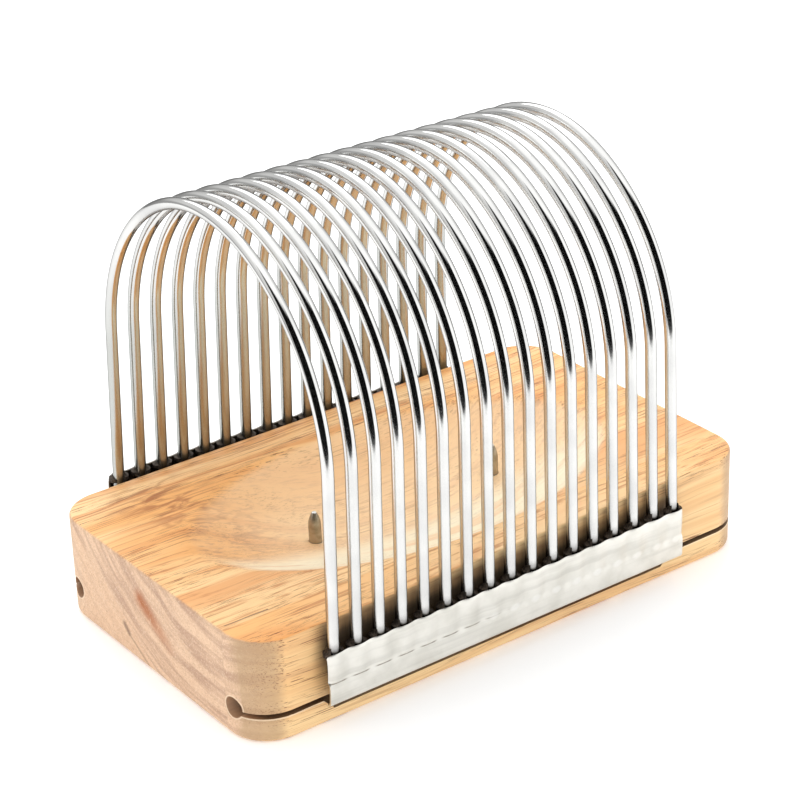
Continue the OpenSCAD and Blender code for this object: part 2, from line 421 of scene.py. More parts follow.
def hoop_path():
    """The middle line of a hoop as (y, z), from the front foot over the top to the back foot."""
    foot = Vector((-FOOT_SPACING / 2, FOOT_Z))
    up = Vector((math.sin(LEG_LEAN), math.cos(LEG_LEAN)))
    inwards = Vector((math.cos(LEG_LEAN), -math.sin(LEG_LEAN)))
    leg_steps, bend_steps = 10, 36
    path = [foot + up * (LEG_L * k / leg_steps) for k in range(leg_steps)]
    centre = foot + up * LEG_L + inwards * SHOULDER_R
    for k in range(bend_steps):
        a = math.pi - LEG_LEAN - SHOULDER_TURN * k / bend_steps
        path.append(centre + SHOULDER_R * Vector((math.cos(a), math.sin(a))))
    last = math.pi - LEG_LEAN - SHOULDER_TURN
    end = centre + SHOULDER_R * Vector((math.cos(last), math.sin(last)))
    crown_r = end.x / math.cos(last)
    crown_centre = Vector((0, end.y - crown_r * math.sin(last)))
    for k in range(bend_steps):
        a = last + (math.pi / 2 - last) * k / bend_steps
        path.append(crown_centre + crown_r * Vector((math.cos(a), math.sin(a))))
    path.append(crown_centre + Vector((0, crown_r)))
    path += [Vector((-p.x, p.y)) for p in reversed(path[:-1])]
    return path


def make_hoop(node, path, place):
    """A round wire swept along the path; its ends are chamfered."""
    low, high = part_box(node)
    x = (low.x + high.x) / 2
    sides = 28
    rings = []
    for k, point in enumerate(path):
        before, after = path[max(k - 1, 0)], path[min(k + 1, len(path) - 1)]
        along = (after - before).normalized()
        across = Vector((-along.y, along.x))
        sizes = [(WIRE_R, 0)]
        if k == 0:
            sizes = [(WIRE_R - 0.4 * MM, 0), (WIRE_R, 0.4 * MM)]
        if k == len(path) - 1:
            sizes = [(WIRE_R, -0.4 * MM), (WIRE_R - 0.4 * MM, 0)]
        for radius, shift in sizes:
            ring = []
            for s in range(sides):
                t = 2 * math.pi * s / sides
                middle = point + along * shift + across * (radius * math.sin(t))
                ring.append(place @ Vector((x + radius * math.cos(t), middle.x + GUARD_Y, middle.y)))
            rings.append(ring)
    made = closed_by_rings(node + "_wire", rings)
    tidy_normals(made, math.radians(40))
    return made


# ---------------------------------------------------------------- rails

def on_leg(side, turn=0.0, slope=0.0):
    """Maps (x along the board, outwards, up the leg) to the frame, for one side's feet."""
    foot = Matrix.Translation((GUARD_X, GUARD_Y + side * FOOT_SPACING / 2, FOOT_Z))
    mirrored = Matrix.Diagonal((1, side, 1, 1))
    lean = Matrix.Rotation(slope, 4, "Y") @ Matrix.Rotation(LEG_LEAN, 4, "X")
    return swung(turn) @ foot @ mirrored @ lean


def back_rail_place():
    """The back rail sits a little above the back feet and slopes down less than they do."""
    hoops_l = (HOOP_COUNT - 1) * HOOP_PITCH
    rise = BACK_LIFT + (FOOT_SPACING * math.sin(GUARD_TWIST) - hoops_l * math.tan(BACK_SLOPE)) / 2
    return on_leg(BACK, GUARD_TWIST / 2, BACK_SLOPE) @ Matrix.Translation((0, BACK_GAP, rise))


def rail_stations():
    """Places along a rail, close together at its ends and four to a quarter wave."""
    half = RAIL_L / 2
    step = HOOP_PITCH / 16
    count = int((half - 2.2 * MM) / step)
    ends = [half - d * MM for d in (0, 0.12, 0.4, 0.8, 1.3, 1.9)]
    return sorted([-e for e in ends] + [k * step for k in range(-count, count + 1)] + ends)


def band_bulge(x):
    """Middle of the crimped sheet: it bulges out over each hoop and is pressed in between."""
    wave = WAVE_DEPTH / 2 * (1 - math.cos(2 * math.pi * x / HOOP_PITCH))
    end = max(abs(x) - (RAIL_L / 2 - 2.6 * MM), 0)
    return WIRE_R + SHEET / 2 - wave - 0.12 * end ** 2 / MM


def band_top(x):
    """Height of the band's top edge, which is rounded off at the rail's ends."""
    short = max(TOP_CORNER_R - (RAIL_L / 2 - abs(x)), 0)
    return BAND_H - (TOP_CORNER_R - math.sqrt(TOP_CORNER_R ** 2 - short ** 2))


def crease_fall(x):
    """How far below the crease the sheet lies flat again: soonest at the left and over each hoop."""
    worn = min(max((x / RAIL_L + 0.35) / 0.5, 0), 1)
    between = (1 - math.cos(2 * math.pi * x / HOOP_PITCH)) / 2
    return (0.3 + 0.9 * worn + (1.5 - 0.6 * worn) * between) * MM


def rail_column(x, tail):
    """The middle of the sheet at one place along the rail, from its top edge to the tail's end."""
    bulge = band_bulge(x)
    band = band_top(x) - CREASE_Y
    column = [(x, bulge - 0.1 * MM, CREASE_Y + band), (x, bulge, CREASE_Y + band * 0.985)]
    for share in (0.85, 0.65, 0.45, 0.25, 0.08):
        column.append((x, bulge + BAND_SWELL * math.sin(math.pi * share), CREASE_Y + band * share))
    column.append((x, bulge, CREASE_Y + 0.12 * MM))
    fall = crease_fall(x)
    for share, drop in ((0.5, fall / 2 - 0.06 * MM), (0.12, fall), (0.04, fall + 1.0 * MM)):
        column.append((x, FLAT_X + (bulge - FLAT_X) * share, CREASE_Y - drop))
    bend_y = tail["bend_y"]
    column.append((x, FLAT_X, (CREASE_Y + bend_y) / 2))
    column.append((x, FLAT_X, bend_y))
    for outwards, up in arc((BEND_X, bend_y), BEND_R, 0, -90 + math.degrees(FLANGE_SLOPE), 8)[1:]:
        column.append((x, outwards, up))
    for outwards, up, shortened in tail["points"]:
        column.append((x * (1 - shortened / (RAIL_L / 2)), outwards, up))
    return column


def rail_sheet(name, place, tail):
    """One folded sheet: crimped band, crease, flat skirt, bottom bend and tail."""
    columns = [[place @ Vector(point) for point in rail_column(x, tail)] for x in rail_stations()]
    points, numbers = numbered(columns)
    made = mesh_object(name, points, bridge(numbers, closed=False))
    thick = made.modifiers.new("thick", "SOLIDIFY")
    thick.thickness = SHEET
    thick.offset = 0
    eased = made.modifiers.new("eased", "BEVEL")
    eased.width = 0.14 * MM
    eased.segments = 2
    eased.limit_method = "ANGLE"
    eased.angle_limit = math.radians(60)
    apply_modifiers(made)
    tidy_normals(made, math.radians(55))
    return made


def hinge_in_leg():
    """The hinge line in the front rail's own section: (outwards, up)."""
    at = on_leg(FRONT).inverted() @ HINGE
    return at.y, at.z


def front_tail():
    """The flange that runs in through the slit and rolls round the rod: (outwards, up, shortened)."""
    hinge_x, hinge_y = hinge_in_leg()
    drop = FLANGE_DROP - SHEET / 2
    inwards = Vector((math.cos(FLANGE_SLOPE), math.sin(FLANGE_SLOPE)))
    start = Vector((hinge_x + drop * inwards.y, hinge_y - drop * inwards.x))
    length = (BEND_X + BEND_R * inwards.y - start.x) / inwards.x
    end = start + length * inwards
    points = []
    for share in (0.12, 0.3, 0.6):
        at = end.lerp(start, share)
        points.append((at.x, at.y, FLANGE_CUT))
    entry = 270 + math.degrees(FLANGE_SLOPE) + math.degrees(math.acos(drop / BEAD_R))
    for outwards, up in arc((hinge_x, hinge_y), BEAD_R, entry, entry - BEAD_TURN, 44):
        points.append((outwards, up, FLANGE_CUT))
    return {"bend_y": end.y + BEND_R * inwards.x, "points": points}


def back_tail():
    """The short lip that turns in under the back of the board: (outwards, up, shortened)."""
    bend_y = front_tail()["bend_y"]
    inwards = Vector((math.cos(FLANGE_SLOPE), math.sin(FLANGE_SLOPE)))
    end = Vector((BEND_X + BEND_R * inwards.y, bend_y - BEND_R * inwards.x))
    points = []
    for share in (0.5, 1):
        at = end - share * LIP_L * inwards
        points.append((at.x, at.y, FLANGE_CUT))
    return {"bend_y": bend_y, "points": points}


def weld_collar(x, place):
    """A fillet of weld round the inner side of a hoop, reaching along the rail's top edge."""
    profile = [(-0.1 * MM, 0, WELD_RISE)]
    for t in [math.radians(a) for a in (0, 18, 36, 54, 72, 90)]:
        profile.append((0, 1 - math.cos(t), WELD_RISE * (1 - math.sin(t)) - 0.1 * MM))
    profile += [(0, 1, -1.5 * MM), (-0.1 * MM, 0, -2.5 * MM)]
    rings = []
    steps = 20
    for k in range(steps + 1):
        t = math.pi + WELD_SPREAD * (2 * k / steps - 1)
        reach = WELD_INWARDS + (WELD_ALONG - WELD_INWARDS) * math.sin(t) ** 2
        ring = []
        for extra, share, up in profile:
            r = WIRE_R + extra + reach * share
            ring.append(place @ Vector((x + r * math.sin(t), r * math.cos(t), BAND_H + up)))
        rings.append(ring)
    return rings


def make_rail(name, place, tail):
    """The folded sheet with its welds, whose faces take the piece's second material."""
    made = rail_sheet(name, place, tail)
    collars = []
    for k in range(HOOP_COUNT):
        x = (k - (HOOP_COUNT - 1) / 2) * HOOP_PITCH
        collar = closed_by_rings("collar", weld_collar(x, place))
        tidy_normals(collar, math.radians(60))
        collars.append(collar)
    whole = bmesh.new()
    whole.from_mesh(made.data)
    sheet_faces = len(whole.faces)
    for collar in collars:
        whole.from_mesh(collar.data)
        bpy.data.objects.remove(collar)
    for number, face in enumerate(whole.faces):
        face.material_index = 1 if number >= sheet_faces else 0
    whole.to_mesh(made.data)
    whole.free()
    return made


# ---------------------------------------------------------------- materials

def node(tree, kind, inputs=None, **settings):
    """Adds a shader node. An input given as a socket is linked, and any other value is set."""
    made = tree.nodes.new(kind)
    for key, value in settings.items():
        setattr(made, key, value)
    for key, value in (inputs or {}).items():
        if isinstance(value, bpy.types.NodeSocket):
            tree.links.new(value, made.inputs[key])
        else:
            made.inputs[key].default_value = value
    return made


def maths(tree, operation, a, b=0.0, clamp=False):
    return node(tree, "ShaderNodeMath", {0: a, 1: b}, operation=operation, use_clamp=clamp).outputs[0]


def times(tree, a, b):
    return maths(tree, "MULTIPLY", a, b)


def plus(tree, a, b):
    return maths(tree, "ADD", a, b)


def minus(tree, a, b):
    return maths(tree, "SUBTRACT", a, b)


def size_of(tree, a):
    return maths(tree, "ABSOLUTE", a)


def vector_maths(tree, operation, values, output=0):
    return node(tree, "ShaderNodeVectorMath", values, operation=operation).outputs[output]


def combine(tree, x, y, z):
    return node(tree, "ShaderNodeCombineXYZ", {0: x, 1: y, 2: z}).outputs[0]


def stretched(tree, axes, *scales):
    """Three coordinates, each scaled by its own number, so that noise takes on a direction."""
    return combine(tree, *[times(tree, axis, scale) for axis, scale in zip(axes, scales)])


def noise(tree, place, scale=1.0, detail=3.0, roughness=0.5, distortion=0.0):
    values = {"Vector": place, "Scale": scale, "Detail": detail, "Roughness": roughness,
              "Distortion": distortion}
    return node(tree, "ShaderNodeTexNoise", values).outputs["Fac"]


def ramp(tree, amount, low, high):
    """A smooth step from 0 to 1 between two amounts, or from 1 to 0 if low is above high."""
    values = {"Value": amount, "From Min": low, "From Max": high}
    return node(tree, "ShaderNodeMapRange", values, interpolation_type="SMOOTHSTEP").outputs[0]


def mixed(tree, amount, under, over):
    made = node(tree, "ShaderNodeMix", data_type="RGBA")
    for index, value in ((0, amount), (6, under), (7, over)):
        if isinstance(value, bpy.types.NodeSocket):
            tree.links.new(value, made.inputs[index])
        else:
            made.inputs[index].default_value = value
    return made.outputs[2]


def tinted(tree, under, share, strength, over):
    """A colour with another laid over it where share is 1, at most at the given strength."""
    return mixed(tree, times(tree, share, strength), under, over)


def mixed_value(tree, amount, under, over):
    made = node(tree, "ShaderNodeMix", {0: amount, 2: under, 3: over}, data_type="FLOAT")
    return made.outputs[0]


def linear(red, green, blue):
    """A colour given as it looks on a screen, 0 to 255, as the linear colour that shaders use."""
    shares = [value / 255 for value in (red, green, blue)]
    return tuple(s / 12.92 if s <= 0.04045 else ((s + 0.055) / 1.055) ** 2.4 for s in shares) + (1,)


def new_material(name):
    made = bpy.data.materials.new(name)
    made.use_nodes = True
    tree = made.node_tree
    shader = tree.nodes["Principled BSDF"]
    return made, tree, shader


def bump(tree, height, distance, strength=1.0, normal=None):
    values = {"Height": height, "Distance": distance, "Strength": strength}
    if normal is not None:
        values["Normal"] = normal
    return node(tree, "ShaderNodeBump", values).outputs[0]


def streak(tree, place, start, end, width):
    """1 along a soft line from start to end, fading to 0 at width from it."""
    start, end = Vector(start), Vector(end)
    along = end - start
    shift = vector_maths(tree, "SUBTRACT", {0: place, 1: start})
    share = vector_maths(tree, "DOT_PRODUCT", {0: shift, 1: along}, "Value")
    share = maths(tree, "DIVIDE", share, along.length_squared, clamp=True)
    nearest = vector_maths(tree, "SCALE", {0: along, "Scale": share})
    away = vector_maths(tree, "DISTANCE", {0: shift, 1: nearest}, "Value")
    return ramp(tree, away, width, 0)


def wood_place(tree):
    """Where a point of the wood lies, which way its face looks, and the grain there."""
    coordinates = node(tree, "ShaderNodeTexCoord")
    place = coordinates.outputs["Object"]
    x, y, z = node(tree, "ShaderNodeSeparateXYZ", {0: place}).outputs
    normal = node(tree, "ShaderNodeSeparateXYZ", {0: coordinates.outputs["Normal"]}).outputs

    # Layers: distance from the pith, pushed about by slow waves that run along the grain
    slow = noise(tree, stretched(tree, (x, y, z), 4.5, 13, 13), detail=2.5)
    off_y = minus(tree, y, PITH_Y)
    off_z = minus(tree, z, PITH_Z)
    squares = plus(tree, times(tree, off_y, off_y), times(tree, off_z, off_z))
    ring = plus(tree, maths(tree, "SQRT", squares), times(tree, slow, LAYER_WAVE))
    around = times(tree, maths(tree, "ARCTAN2", off_y, off_z), PITH_AWAY)

    def grain(along, through, round_pith, detail=3.0, roughness=0.5):
        vector = stretched(tree, (x, ring, around), along, through, round_pith)
        return noise(tree, vector, detail=detail, roughness=roughness)

    return SimpleNamespace(
        place=place, x=x, y=y, z=z, normal=normal, grain=grain,
        layers=grain(8, 260, 24, detail=3),
        fine=grain(20, 1300, 450, detail=3, roughness=0.6),
        mottle=grain(30, 1500, 1500, detail=4, roughness=0.7),
        rays=grain(30, 140, 2300, detail=2),
        pores=grain(50, 2600, 2600, detail=2, roughness=0.6))


def find_wood_faces(tree, wood):
    """Adds which part of the board a face belongs to: a long side, an end or the hollow."""
    wood.side = ramp(tree, size_of(tree, wood.normal[1]), 0.5, 0.95)
    ragged = times(tree, minus(tree, wood.fine, 0.5), 0.5)
    wood.end = ramp(tree, plus(tree, size_of(tree, wood.normal[0]), ragged), 0.05, 0.95)
    deep = ramp(tree, wood.z, BOARD_T - 0.2 * MM, BOARD_T - 2.5 * MM)
    inside = ramp(tree, size_of(tree, wood.y), DISH_W / 2, DISH_W / 2 - 3 * MM)
    upward = ramp(tree, wood.normal[2], 0.2, 0.6)
    wood.hollow = times(tree, times(tree, deep, inside), upward)


def plain_wood(tree, wood):
    broad = ramp(tree, wood.grain(4, 55, 9, detail=2), 0.36, 0.66)
    colour = mixed(tree, broad, linear(254, 216, 160), linear(244, 180, 106))
    colour = tinted(tree, colour, ramp(tree, wood.layers, 0.46, 0.68), 0.70, linear(226, 150, 80))
    return tinted(tree, colour, ramp(tree, wood.fine, 0.52, 0.64), 0.65, linear(192, 118, 62))


def with_figure(tree, wood, colour):
    """A browner figure lies in the top at the left of the hollow."""
    flame = combine(tree, times(tree, wood.x, 70), times(tree, wood.y, 260), 0.0)
    flame = noise(tree, flame, detail=3, roughness=0.6, distortion=0.8)
    figure = times(tree, ramp(tree, flame, 0.44, 0.66), streak(tree, wood.place, *FIGURE))
    return tinted(tree, colour, figure, 0.9, linear(178, 108, 58))


def with_hollow(tree, wood, colour):
    """The hollow cuts across the grain, so it looks paler and pinker; up its walls it has painted light
    and shade, a painted highlight on the near wall and painted shade on the far wall.
    """
    flat = times(tree, wood.hollow, ramp(tree, wood.normal[0], 0.36, 0.12))
    colour = tinted(tree, colour, flat, 0.6, linear(255, 226, 184))
    # painted shade: the far wall, facing away from the key light, is darkened to a deeper orange
    far_wall_shade = times(tree, wood.hollow, ramp(tree, wood.normal[1], -0.10, -0.42))
    colour = tinted(tree, colour, far_wall_shade, 0.30, linear(236, 178, 118))
    # painted highlight: the near wall, facing the key light, is lightened to a pale cream
    wall = times(tree, ramp(tree, wood.normal[1], 0.02, 0.24), ramp(tree, wood.layers, 0.78, 0.50))
    return tinted(tree, colour, times(tree, wood.hollow, wall), 0.9, linear(255, 244, 214))


def with_end_grain(tree, wood, colour):
    """End grain is greyer and pinker, mottled, and crossed by faint rays."""
    layers = ramp(tree, wood.layers, 0.38, 0.66)
    end = mixed(tree, layers, linear(224, 188, 154), linear(186, 148, 120))
    warm = ramp(tree, minus(tree, wood.y, times(tree, wood.z, 1.48)), -7 * MM, -2 * MM)
    end = tinted(tree, end, warm, 0.75, linear(222, 184, 148))
    end = tinted(tree, end, ramp(tree, wood.mottle, 0.47, 0.34), 0.40, linear(248, 226, 200))
    end = tinted(tree, end, ramp(tree, wood.mottle, 0.53, 0.66), 0.50, linear(164, 126, 102))
    end = tinted(tree, end, ramp(tree, wood.rays, 0.55, 0.72), 0.25, linear(188, 148, 124))
    return mixed(tree, wood.end, colour, end)


def with_corner_shade(tree, wood, colour):
    """Painted shade: the rounded corners are darkened to a browner tone."""
    corner_shade = size_of(tree, times(tree, wood.normal[0], wood.normal[1]))
    return tinted(tree, colour, ramp(tree, corner_shade, 0.08, 0.40), 0.7, linear(182, 150, 112))


def with_pores(tree, wood, colour):
    """Pores are short dark hair lines along the grain, and dots on the end grain."""
    patches = wood.grain(12, 120, 60, detail=2)
    wood.pore = times(tree, ramp(tree, wood.pores, 0.58, 0.65), ramp(tree, patches, 0.36, 0.56))
    fewer = minus(tree, 0.85, times(tree, plus(tree, wood.hollow, wood.end), 0.5))
    return tinted(tree, colour, wood.pore, fewer, linear(120, 60, 26))


def with_flaws(tree, wood, colour):
    """A knot and a dark check in the left end, and one long gouge in the top."""
    knot = times(tree, streak(tree, wood.place, *KNOT), ramp(tree, wood.mottle, 0.22, 0.44))
    knot = times(tree, knot, ramp(tree, wood.rays, 0.22, 0.40))
    colour = mixed(tree, knot, colour, linear(170, 96, 40))
    crack = times(tree, streak(tree, wood.place, *CRACK), 0.6)
    check = maths(tree, "MAXIMUM", streak(tree, wood.place, *CHECK), crack)
    check = times(tree, check, ramp(tree, wood.mottle, 0.22, 0.46))
    colour = tinted(tree, colour, check, 0.8, linear(118, 82, 60))
    gouge = times(tree, streak(tree, wood.place, *GOUGE), ramp(tree, wood.pores, 0.30, 0.50))
    return mixed(tree, gouge, colour, linear(70, 40, 26))


def with_channel(tree, wood, colour):
    """The channel, cut with a saw, is darkened inside with painted shade, most deeply away from the
    board's ends, and has a painted highlight on its rim and lip.
    """
    across = minus(tree, size_of(tree, wood.y), BOARD_W / 2 - CHANNEL_INSET)
    height = minus(tree, wood.z, CHANNEL_Z)
    squares = plus(tree, times(tree, across, across), times(tree, height, height))
    reach = maths(tree, "SQRT", squares)
    bore = ramp(tree, reach, CHANNEL_R + 0.25 * MM, CHANNEL_R + 0.05 * MM)
    level = ramp(tree, size_of(tree, wood.normal[2]), 0.25, 0.45)
    low = times(tree, ramp(tree, wood.z, 2.7 * MM, 3.2 * MM), ramp(tree, wood.z, 13 * MM, 12.4 * MM))
    channel_shade = maths(tree, "MAXIMUM", bore, times(tree, level, low))
    # painted highlight on the rim of the bore and on the lip of the slit
    rim = ramp(tree, reach, CHANNEL_R + 0.9 * MM, CHANNEL_R + 0.4 * MM)
    lip = size_of(tree, minus(tree, wood.z, SLIT_BOTTOM - 0.35 * MM))
    lip = times(tree, ramp(tree, lip, 0.4 * MM, 0.2 * MM), ramp(tree, across, -1 * MM, 1 * MM))
    colour = tinted(tree, colour, maths(tree, "MAXIMUM", rim, lip), 0.45, linear(252, 232, 200))
    # painted shade, darker further into the channel from the board's ends
    inner = ramp(tree, size_of(tree, wood.x), BOARD_L / 2 - 1 * MM, BOARD_L / 2 - 9 * MM)
    return tinted(tree, colour, channel_shade, 0.85, mixed(tree, inner, linear(150, 108, 78), linear(58, 38, 26)))


def with_side_shade(tree, wood, colour):
    """Painted shade on the long sides behind the rails, streaked up and down, up to a line that falls to
    the right.
    """
    along_rail = size_of(tree, minus(tree, wood.x, GUARD_X))
    rubbing_and_shade = ramp(tree, along_rail, RAIL_L / 2 + 4 * MM, RAIL_L / 2 - 6 * MM)
    rubbing_and_shade = times(tree, rubbing_and_shade, ramp(tree, wood.z, 10 * MM, 33 * MM))
    rubbing_and_shade = times(tree, rubbing_and_shade, wood.side)
    # vertical streaks in the painted shade
    shade_streaks = noise(tree, combine(tree, times(tree, wood.x, 1100), 0.0, times(tree, wood.z, 60)))
    from_left = plus(tree, wood.x, RAIL_L / 2 - GUARD_X)
    raised = plus(tree, wood.z, times(tree, from_left, 0.04))
    darker = plus(tree, ramp(tree, raised, 42 * MM, 34 * MM), times(tree, shade_streaks, 0.7))
    # painted shade: dark brown, darkening to near black lower down
    shade_tone = mixed(tree, ramp(tree, darker, 0.35, 1.35), linear(150, 118, 82), linear(42, 35, 28))
    rubbing_and_shade = times(tree, rubbing_and_shade, ramp(tree, raised, 44.5 * MM, 40.2 * MM))
    return tinted(tree, colour, rubbing_and_shade, 0.93, shade_tone)


def wood_material():
    """Solid rubberwood, with pores along the grain."""
    made, tree, shader = new_material("rubberwood")
    wood = wood_place(tree)
    find_wood_faces(tree, wood)
    colour = with_figure(tree, wood, plain_wood(tree, wood))
    colour = tinted(tree, colour, wood.side, 0.50, linear(228, 200, 150))
    for added in (with_hollow, with_end_grain, with_corner_shade, with_pores, with_flaws,
                  with_channel, with_side_shade):
        colour = added(tree, wood, colour)
    tree.links.new(colour, shader.inputs["Base Color"])
    rough = plus(tree, times(tree, wood.fine, 0.22), 0.42)
    tree.links.new(rough, shader.inputs["Roughness"])
    relief = minus(tree, times(tree, wood.fine, 0.5), wood.pore)
    tree.links.new(bump(tree, relief, 0.12 * MM, 0.6), shader.inputs["Normal"])
    return made


def hoop_material():
    """Polished stainless wire, with faint drawing marks and slight waves that bend its reflections."""
    made, tree, shader = new_material("polished_steel")
    coordinates = node(tree, "ShaderNodeTexCoord")
    place = coordinates.outputs["Object"]
    marks = noise(tree, place, scale=900, detail=2)
    slow = noise(tree, place, scale=55, detail=2)
    tone = mixed(tree, ramp(tree, slow, 0.35, 0.7), linear(224, 224, 222), linear(212, 212, 211))

    # Painted shade: the back legs get a darker, greyer tone
    split = node(tree, "ShaderNodeSeparateXYZ", {0: place}).outputs
    back_leg_shade = times(tree, ramp(tree, split[1], 30 * MM, 60 * MM),
                 ramp(tree, split[2], 150 * MM, 90 * MM))
    tone = mixed(tree, times(tree, back_leg_shade, 0.75), tone, linear(172, 174, 170))

    # Painted reflections: the wire above each rail is darkened as a painted dark reflection, highest on
    # the side towards the board, and the low sides of the back legs facing +X are browned as a painted
    # reflection of the wood
    normal = node(tree, "ShaderNodeSeparateXYZ", {0: coordinates.outputs["Normal"]}).outputs
    side = maths(tree, "SIGN", split[1])
    inwards = ramp(tree, times(tree, times(tree, normal[1], side), -1), -0.75, 0.9)
    rim = plus(tree, FOOT_Z + BAND_H + 0.6 * MM, times(tree, inwards, 9 * MM))
    dark_reflection = minus(tree, split[2], rim)
    dark_reflection = ramp(tree, plus(tree, dark_reflection, times(tree, marks, 1.5 * MM)), 4 * MM, -2 * MM)
    depth = plus(tree, 0.78, times(tree, side, -0.14))
    wood_reflection = times(tree, ramp(tree, split[1], 30 * MM, 60 * MM),
                   ramp(tree, split[2], 70 * MM, 40 * MM))
    wood_reflection = times(tree, wood_reflection, ramp(tree, normal[0], -0.6, 0.5))
    tone = mixed(tree, times(tree, wood_reflection, 0.6), tone, linear(96, 84, 68))
    tone = mixed(tree, times(tree, dark_reflection, depth), tone, linear(58, 52, 48))
    tree.links.new(tone, shader.inputs["Base Color"])
    shader.inputs["Metallic"].default_value = 1.0
    shader.inputs["Specular Tint"].default_value = (0.3, 0.3, 0.3, 1)
    worn = ramp(tree, split[2], 125 * MM, 85 * MM)
    rough = plus(tree, times(tree, marks, 0.08), 0.05)
    tree.links.new(plus(tree, rough, times(tree, worn, 0.15)), shader.inputs["Roughness"])
    waves = bump(tree, slow, 0.25 * MM, 0.35)
    tree.links.new(bump(tree, marks, 0.01 * MM, 0.3, waves), shader.inputs["Normal"])
    return made


def rail_material(side, place_in_frame):
    """Satin sheet steel with rub marks along its length, painted banded reflections, and painted shade and
    highlights along the crease; the inside is darkened with painted shade between the hoops.
    """
    made, tree, shader = new_material("satin_steel_front" if side == FRONT else "satin_steel_back")
    coordinates = node(tree, "ShaderNodeTexCoord")
    place = coordinates.outputs["Object"]
    split = node(tree, "ShaderNodeSeparateXYZ", {0: place}).outputs
    rubbing_and_shade = noise(tree, stretched(tree, split, 25, 1400, 1400), detail=3)
    clouds = noise(tree, place, scale=110, detail=3)
    # painted reflections: soft horizontal streaks darken the sheet
    reflection_bands = noise(tree, combine(tree, times(tree, split[0], 14), 0.0,
                                times(tree, split[2], 330)), detail=2)
    tone = mixed(tree, ramp(tree, clouds, 0.35, 0.7), linear(230, 228, 221), linear(216, 214, 206))
    tone = mixed(tree, times(tree, ramp(tree, reflection_bands, 0.46, 0.70), 0.40), tone, linear(186, 184, 176))
    normal = node(tree, "ShaderNodeSeparateXYZ", {0: coordinates.outputs["Normal"]}).outputs
    outer = ramp(tree, times(tree, normal[1], side), 0.2, 0.7)

    # Painted shade in the crease at the left, and painted highlights below each hoop at the right
    crease = place_in_frame @ Vector((0, WIRE_R, CREASE_Y - 0.4 * MM))
    run = place_in_frame.to_3x3() @ Vector((1, 0, 0))
    from_middle = minus(tree, split[0], crease.x)
    levelled = minus(tree, split[2], times(tree, from_middle, run.z / run.x))
    below = size_of(tree, minus(tree, levelled, crease.z))
    left = ramp(tree, split[0], GUARD_X + 0.02 * RAIL_L, GUARD_X - 0.16 * RAIL_L)
    turns = times(tree, minus(tree, split[0], GUARD_X), 2 * math.pi / HOOP_PITCH)
    wave = maths(tree, "COSINE", turns)
    crease_shade = times(tree, ramp(tree, below, 0.42 * MM, 0.12 * MM), times(tree, left, outer))
    crease_shade = times(tree, crease_shade, ramp(tree, plus(tree, wave, reflection_bands), -0.6, 0.6))
    tone = mixed(tree, times(tree, crease_shade, 0.75), tone, linear(118, 108, 92))
    level = maths(tree, "POWER", maths(tree, "DIVIDE", below, 1.8 * MM), 2)
    away = plus(tree, level, minus(tree, 1, wave))
    right = times(tree, ramp(tree, left, 0.7, 0.2), outer)
    crease_highlights = times(tree, ramp(tree, away, 1.3, 0.0), right)
    tone = mixed(tree, times(tree, crease_highlights, 0.55), tone, linear(252, 252, 249))

    # Painted shade on the inside, from the foot of the band up
    inner = ramp(tree, times(tree, normal[1], -side), 0.2, 0.7)
    above = ramp(tree, split[2], FOOT_Z - 3 * MM, FOOT_Z + 3 * MM)
    shade_noise = noise(tree, place, scale=420, detail=4, roughness=0.65)
    shade_tone = mixed(tree, ramp(tree, shade_noise, 0.38, 0.66), linear(58, 51, 46), linear(108, 94, 80))
    inside_shade = times(tree, inner, above)
    tone = mixed(tree, inside_shade, tone, shade_tone)
    tree.links.new(tone, shader.inputs["Base Color"])
    shader.inputs["Metallic"].default_value = 1.0
    rough = plus(tree, times(tree, rubbing_and_shade, 0.16), 0.24)
    rough = plus(tree, rough, times(tree, inside_shade, 0.25))
    tree.links.new(rough, shader.inputs["Roughness"])
    tree.links.new(bump(tree, rubbing_and_shade, 0.02 * MM, 0.5), shader.inputs["Normal"])
    return made


def weld_material():
    """Rough dark weld metal."""
    made, tree, shader = new_material("weld")
    place = node(tree, "ShaderNodeTexCoord").outputs["Object"]
    pits = noise(tree, place, scale=1300, detail=4, roughness=0.65)
    tone = mixed(tree, ramp(tree, pits, 0.36, 0.66), linear(52, 46, 42), linear(96, 86, 76))
    tree.links.new(tone, shader.inputs["Base Color"])
    shader.inputs["Metallic"].default_value = 0.8
    tree.links.new(plus(tree, times(tree, pits, 0.3), 0.45), shader.inputs["Roughness"])
    tree.links.new(bump(tree, pits, 0.08 * MM, 0.6), shader.inputs["Normal"])
    return made


def spike_material():
    """Dull grey-brown steel, ground across, with a brighter worn tip."""
    made, tree, shader = new_material("dull_steel")
    place = node(tree, "ShaderNodeTexCoord").outputs["Object"]
    split = node(tree, "ShaderNodeSeparateXYZ", {0: place}).outputs
    ground = noise(tree, stretched(tree, split, 120, 120, 1500), detail=3)
    clouds = noise(tree, place, scale=260, detail=3)
    tone = mixed(tree, ramp(tree, clouds, 0.35, 0.7), linear(182, 172, 154), linear(150, 140, 122))
    worn = ramp(tree, split[2], BOARD_T - 0.45 * MM, BOARD_T - 0.1 * MM)
    tone = mixed(tree, worn, tone, linear(225, 224, 220))
    tree.links.new(tone, shader.inputs["Base Color"])
    shader.inputs["Metallic"].default_value = 1.0
    tree.links.new(plus(tree, times(tree, ground, 0.25), 0.30), shader.inputs["Roughness"])
    tree.links.new(bump(tree, ground, 0.03 * MM, 0.5), shader.inputs["Normal"])
    return made


